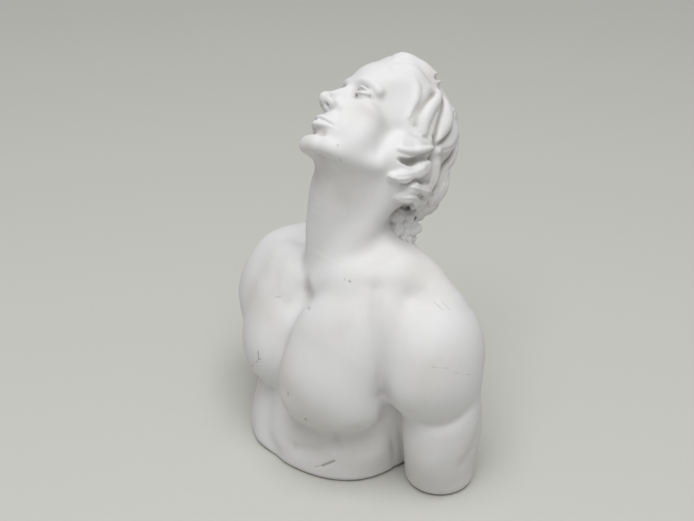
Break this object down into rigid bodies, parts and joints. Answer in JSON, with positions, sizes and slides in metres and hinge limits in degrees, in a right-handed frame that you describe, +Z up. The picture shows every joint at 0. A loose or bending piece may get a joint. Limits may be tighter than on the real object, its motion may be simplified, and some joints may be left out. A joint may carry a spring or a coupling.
{
  "type": "plaster bust",
  "caption": "Plaster bust of an athletic figure with curly hair, head thrown back and turned over the right shoulder, cut flat below the chest and through the upper arms.",
  "frame": {"origin": "middle of the bust's bounding box, at the flat cut it rests on", "axes": "+Z up, -Y out of the chest, +X towards the figure's left shoulder"},
  "size_m": [0.2666, 0.192, 0.3301],
  "materials": {
    "plaster": "matt"
  },
  "bodies": {
    "root": {"bust": "plaster"}
  },
  "joints": []
}
